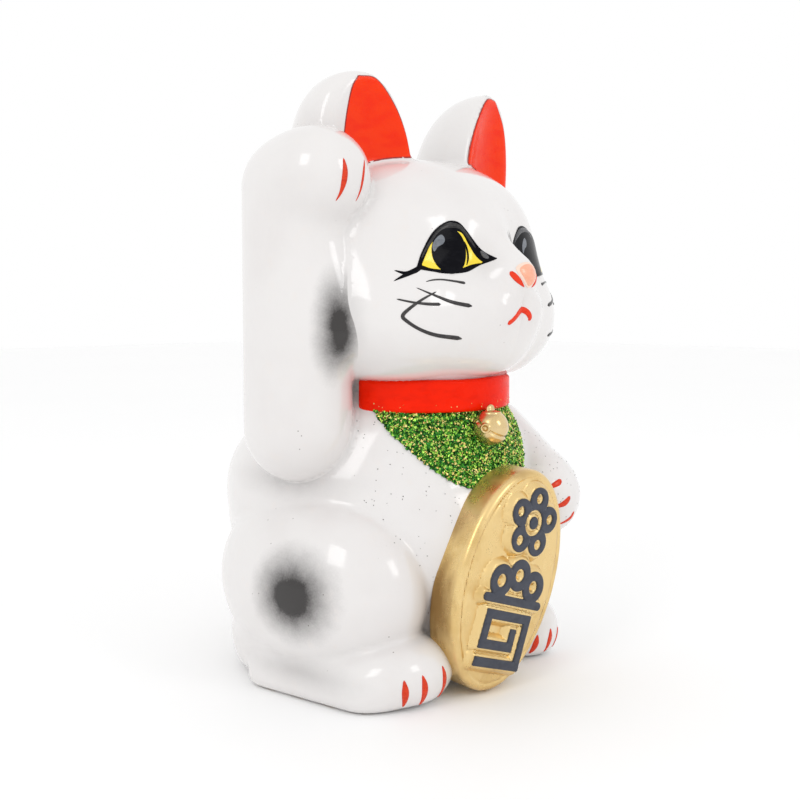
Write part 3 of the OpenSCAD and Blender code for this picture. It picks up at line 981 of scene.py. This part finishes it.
def paint_eye(side, turn_over, pupil_at, pupil_r, widen=1, outward=0):
    """Eye, lids and lashes of one side. The outlines can be widened and moved outward."""
    low = np.array((-46 if turn_over > 0 else 4, -72, 154))
    high = low + (42, 28, 30)

    def moved(places):
        return np.array(places) * (turn_over * widen, 1) + (outward, 0)

    def pupil(p):
        return (norm((chart(p) - pupil_at) / pupil_r, axis=1) - 1) * (sum(pupil_r) / 2)

    for part, region, material, lift, nodes in (
        ("_eye_black", in_chart(moved(cornered(LID, LOW_LID))), black, 0.2, [side + "_eye"]),
        ("_iris", in_chart(moved(cornered(IRIS_TOP, IRIS_LOW))), yellow, 0.3, []),
        ("_pupil", pupil, black, 0.42, []),
        ("_eye_shine", in_chart(spline(SHINE, closed=True) + pupil_at), shine_grey, 0.5, []),
    ):
        ob = coat(side + part, head_form, region, low, high, EYE_GRID, material, lift)
        place(ob, "black_enamel", *nodes)
    for part, places, widths, material, height in EYE_STROKES:
        here = route(moved(places))
        place(stroke(side + part, head_form, here, widths, material, height), "black_enamel")


WHISKERS = (
    ([(-32.7, 156.5), (-30.2, 157.2), (-26.4, 157.3), (-22, 156.7), (-18.7, 156.1)],
     (0.3, 0.6, 0.7, 0.9, 1.3)),
    ([(-35.7, 154.3), (-31.2, 152.1), (-25.1, 149.4), (-17.8, 147.6)], (0.35, 0.8, 1.3, 1.5)),
    ([(-41.3, 150.2), (-36.6, 149), (-32.2, 148.4), (-28.2, 148.3)], (0.6, 0.8, 1.1, 1.2)),
    ([(-29.4, 152.9), (-34, 150), (-37.8, 146.6), (-39.5, 144.2), (-38.5, 142.4), (-34.9, 139.4),
      (-29.8, 137.1), (-20.4, 135.5)], (0.5, 0.9, 1.2, 1.4, 1.3, 1.2, 1.4, 1.7)),
)


def paint_whiskers(side, turn_over, shift):
    """Brushed whiskers, farther back on the cheek by a shift."""
    parts = []
    for places, widths in WHISKERS:
        here = route([((s - shift) * turn_over, z) for s, z in places])
        parts.append(stroke("whisker", head_form, here, widths, whisker_grey))
    place(merge(side + "_whiskers", parts), "black_enamel")


# Both pupils look towards the beckoning paw's side.
paint_eye("right", 1, (-23.2, 168), (7.2, 8.5))
paint_eye("left", -1, (27.5, 168.6), (13.5, 9.4), widen=1.32, outward=-2.6)
for part, places, widths in LEFT_LID_SHEEN:
    sheen = stroke("left_eye" + part, head_form, route(places), widths, lid_sheen, 0.55)
    place(sheen, "black_enamel")
paint_whiskers("right", 1, 0)
paint_whiskers("left", -1, 10.5)

NOSTRIL = [(-5.9, 160.3), (-5, 158.7), (-3.6, 156.7), (-1.6, 154.6)]
for side, turn_over in (("right", 1), ("left", -1)):
    here = route([(s * turn_over, z) for s, z in NOSTRIL])
    place(stroke(side + "_nostril", head_form, here, (1.5, 2.3, 1.9, 0.3), lip_red), "red_enamel")

NOSE = [(-3.4, 161), (-1.4, 162.9), (1.4, 162.9), (3.4, 161), (2, 157.3), (0, 155.2), (-2, 157.3)]
NOSE_RIM = [(s * 1.28, 159 + (z - 159) * 1.2) for s, z in NOSE]
for name, outline, material, lift, nodes in (
    ("nose_rim", NOSE_RIM, pale_peach, 0.15, []),
    ("nose_tip", NOSE, peach, 0.28, ["nose"]),
):
    region = in_chart(spline(outline, closed=True))
    ob = coat(name, head_form, region, (-9, -82, 150), (9, -66, 168), NOSE_GRID, material, lift)
    place(ob, "peach_enamel", *nodes)

MOUTH = [(-6.7, 140.9), (-4.6, 142.7), (-2.4, 145), (-0.2, 146.2), (1.7, 145.3), (2.9, 143.4),
         (2.8, 142)]
mouth = stroke("mouth_stroke", head_form, route(MOUTH), (1.8, 2, 2.3, 2.4, 2.3, 2, 1.2),
               lip_red, per=6)
place(mouth, "red_enamel", "mouth")

# ---- claws

BRUSH = (1.5, 2.5, 1.6, 0.3)
TOE = (0.6, 2.6, 2.2, 0.5)


def claws(name, *claw_strokes):
    """Claws of one paw: points near the ceramic, and the stroke's widths there."""
    parts = [stroke("claw", cat_form, along, widths, claw_red) for along, widths in claw_strokes]
    place(merge(name, parts), "red_enamel")


claws("raised_paw_claws",
      ([(-61, -40.2, 200), (-61, -41.4, 196), (-61.4, -41.4, 192), (-62, -40.4, 188),
        (-63, -39, 184.6)], (0.5, 2, 2.2, 1.2, 0.3)),
      ([(-50, -39.2, 200.6), (-51.4, -41, 197), (-52.4, -41.4, 193), (-53, -41, 189),
        (-53.8, -40, 185)], (0.3, 1.1, 1.3, 0.9, 0.3)))
claws("resting_paw_claws",
      ([(33, -67.6, 77.2), (31, -67.4, 76), (28, -66.4, 74.8), (23.8, -64, 73.2)], BRUSH),
      ([(36, -69.8, 70.2), (33.4, -69.8, 68), (30.2, -68.6, 66.8), (26, -66.4, 65.8)], BRUSH),
      ([(40.2, -68.4, 63.4), (39.6, -67.8, 60.8), (36.6, -67.6, 59.2), (33, -66.2, 58.4)], BRUSH))
claws("right_foot_claws",
      ([(-54, -63.6, 13.6), (-53.6, -63.9, 10), (-53.1, -63.4, 6.6), (-52.5, -61.8, 3)], TOE),
      ([(-47.2, -65.4, 14.2), (-46.4, -65.7, 10.6), (-45.8, -65, 6.6), (-45.6, -63, 3)], TOE),
      ([(-37.2, -65, 15), (-36.5, -65.1, 11.4), (-36.1, -64.4, 7.6), (-36.4, -62.6, 3.8)], TOE))
claws("left_foot_claws",
      ([(30.4, -58.4, 11.4), (30, -58, 8), (29.6, -56.8, 5), (29, -55, 2.6)], TOE),
      ([(37.2, -60, 13), (37, -59.8, 9.4), (36.6, -58.8, 6), (36, -57, 3)], TOE),
      ([(44.4, -58.4, 12), (44.2, -58, 8.6), (43.6, -57, 5.6), (43, -55.4, 3)], TOE))

# ---- ears

# Edges of the linings: across the ear, and height. The left one reaches farther out.
EAR_INNER = [(-6.6, 233.6), (1, 233), (8.6, 224.5), (14, 214), (17.2, 203), (19, 190)]
RIGHT_OUTER = [(-13.4, 190), (-12, 212), (-9.6, 228), (-6.6, 233.6)]
LEFT_OUTER = [(-19, 190), (-18.5, 206), (-15, 222), (-6.6, 233.6)]


def lining_region(p, outline):
    """Painted inside of the right ear, down to the skull and in front of the fin."""
    q = (p - EAR_FRONT) @ EAR_TURN
    inside = outline_distance(np.stack([q[:, 0], p[:, 2]], 1), outline)
    return np.maximum.reduce([inside, 1.6 - skull_form(p), q[:, 1] - 9, ear_fin(p) + 1])


def line_ear(side, turn_over, low_x, outer, blocked=None):
    """Red lining and its dark edge. A form can block the paint."""
    outline = cornered(outer, EAR_INNER, [EAR_INNER[-1], outer[0]])
    low, high = (low_x, -46, 186), (low_x + 54, -8, 240)
    for part, grow, material, lift, nodes in (
        ("_ear_edge", 0.45, ear_edge, 0.12, []),
        ("_ear_red", 0.0, ear_red, 0.26, [side + "_ear_lining"]),
    ):
        def region(p):
            d = lining_region(p * (turn_over, 1, 1), outline) - grow
            return d if blocked is None else np.maximum(d, 0.8 - blocked(p))

        ob = coat(side + part, cat_form, region, low, high, BROAD_GRID, material, lift)
        place(ob, "red_enamel", *nodes)


line_ear("right", 1, -62, RIGHT_OUTER, raised_arm_form)
line_ear("left", -1, 8, LEFT_OUTER)

# ---- collar, bell and bib

collar = solid("collar_enamelled", collar_form, COLLAR_LO - 3, COLLAR_HI + 3, BROAD_GRID, red)
place(collar, "red_enamel", "collar_band")
bell = solid("bell_gilt", bell_form, BELL_LO - 4, BELL_HI + 4, BELL_GRID, bell_gold)
place(bell, "gilding", "bell")

BIB_TOP = COLLAR_LO[2] + 2
BIB_EDGE = [(-55.5, 107.5), (-47.5, 100.6), (-38.5, 93.4), (-30, 86.4), (-22.4, 81.6), (-14, 78.2)]
BIB_OUTLINE = cornered(BIB_EDGE + [(0, 76.6)] + [(-s, z) for s, z in BIB_EDGE[::-1]],
                       [(55.5, 107.5), (0, 112), (-55.5, 107.5)])


def bib_region(p):
    """Half-round bib under the collar, with a ragged glitter edge."""
    x, z = p[:, 0], p[:, 2]
    ragged = 0.5 * np.sin(x * 2.1) * np.sin(z * 1.7) + 0.3 * np.sin(x * 4.7 + z * 3.1)
    bib_side = outline_distance(chart(p), BIB_OUTLINE) + ragged * 0.6
    return np.maximum(bib_side, 0.4 - raised_arm_form(p))


def chest_form(p):
    """The surface that the bib lies on, without the head and the raised arm."""
    return join(body_form(p), resting_arm_form(p), 4)


bib_points, bib_quads = quads_of(chest_form, (-52, -70, 72), (52, -10, 112), BIB_GRID)
bib_middle = bib_points[bib_quads].mean(1)
inside = (bib_region(bib_middle) < 0) & (bib_middle[:, 2] < BIB_TOP + 1.5)
bib_quads = bib_quads[inside & (np.abs(chest_form(bib_points)) < 0.3)[bib_quads].all(1)]
bib_points, bib_quads = compact(bib_points, bib_quads)
bib_rim = np.unique(np.concatenate(rim_of(bib_quads)))
bib_rim = bib_rim[bib_points[bib_rim, 2] < BIB_TOP]
bib_points[bib_rim] = along_surface(chest_form, bib_points[bib_rim], bib_region, 1.0)
bib = skin("bib_glitter_bed", chest_form, bib_points, bib_quads, green_base, 0.9, 0.45)
place(bib, "glitter", "bib")

# Stray flakes on the glaze round the bib and on the collar's lower edge
middle = points[quads].mean(1)
near_bib = (norm(middle - (0, -50, 84), axis=1) < 52) & (bib_region(middle) > 1)
near_bib &= (middle[:, 1] < -20) & (middle[:, 2] < 104)
rim_points, rim_quads = quads_of(collar_form, COLLAR_LO - 3, COLLAR_HI + 3, 1.6)
middle = rim_points[rim_quads].mean(1)
lower_rim = (middle[:, 2] < COLLAR_LO[2] + 4.5) & (middle[:, 1] < -22)

on_bib = (chest_form, bib_points, bib_quads)
on_glaze = (cat_form, points, quads[near_bib])
on_collar = (collar_form, rim_points, rim_quads[lower_rim])
for name, surface, count, size, material, lift, lean in (
    ("bib_green_flakes", on_bib, 4600, 1.5, green_flake, 0.9, 0.45),
    ("bib_bright_flakes", on_bib, 2500, 1.4, bright_flake, 1.1, 0.5),
    ("bib_gold_flakes", on_bib, 1400, 1.25, gold_flake, 1.2, 0.5),
    ("stray_glitter", on_glaze, 230, 0.5, dust, 0.1, 0.2),
    ("collar_glitter", on_collar, 130, 0.7, gold_flake, 0.2, 0.3),
):
    place(flakes(name, *surface, count, size, material, lift, lean), "glitter")

# ---- plaque

koban = solid("koban_gilt", plaque_form, PLAQUE_AT - (38, 16, 47), PLAQUE_AT + (38, 16, 47),
              PLAQUE_GRID, gilding)
place(koban, "gilding", "koban_plaque")
for name, outline in ORNAMENTS.items():
    low, high = node_box(name)
    ob = solid(name + "_black", ornament_form(outline), low - 3, high + 3, ORNAMENT_GRID,
               relief_black)
    place(ob, "black_enamel", name)

# ---- carried-over CAD pieces

for name, material in (("base_disc", clay), ("stopper", rubber())):
    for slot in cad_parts[name].material_slots:
        slot.material = material

# ---- stage, light and camera

paper = Look("stage_white", (0.98, 0.98, 0.98), 0.6, specular=0.2)
paper.tint(paper.ramp(paper.noise(400, 2), 0.4, 0.7, 0, 0.3), (0.965, 0.965, 0.97))
FLOOR = 3000
corners = [(x * FLOOR, y * FLOOR, 0) for x, y in ((-1, -1), (1, -1), (1, 1), (-1, 1))]
floor = new_object("floor", corners, [(0, 1, 2, 3)], paper.material, smooth=False)
bpy.context.scene.view_settings.view_transform = "Standard"


def look_at(ob, at):
    ob.rotation_euler = (Vector(at) - ob.location).to_track_quat("-Z", "Y").to_euler()


LIT = (0, 0, 0.12)      # where the lights point, in metres


def soft_light(name, place_at, size, power):
    """Rectangular light in metres and watts."""
    data = bpy.data.lights.new(name, "AREA")
    data.shape = "RECTANGLE"
    data.size, data.size_y = size
    data.energy = power
    ob = add(name, data)
    ob.location = place_at
    look_at(ob, LIT)


soft_light("upper_left_softbox", (-1.0, -0.25, 0.85), (0.35, 0.5), 1.5)
soft_light("front_right_softbox", (0.2, -1.2, 0.75), (0.3, 0.45), 1.3)
world = bpy.data.worlds.new("studio")
world.use_nodes = True
background = world.node_tree.nodes["Background"]
background.inputs["Color"].default_value = (1, 1, 1, 1)
background.inputs["Strength"].default_value = 1.0
bpy.context.scene.world = world

AIM = Vector((0, -0.008, 0.108))
DISTANCE = 0.48
azimuth, elevation = math.radians(-45), math.radians(5)
towards_camera = Vector((math.sin(azimuth) * math.cos(elevation),
                         -math.cos(azimuth) * math.cos(elevation),
                         math.sin(elevation)))
camera = add("camera", bpy.data.cameras.new("camera"))
bpy.context.scene.camera = camera
camera.location = AIM + DISTANCE * towards_camera
look_at(camera, AIM)
camera.data.sensor_width = 36
camera.data.lens = 51.4
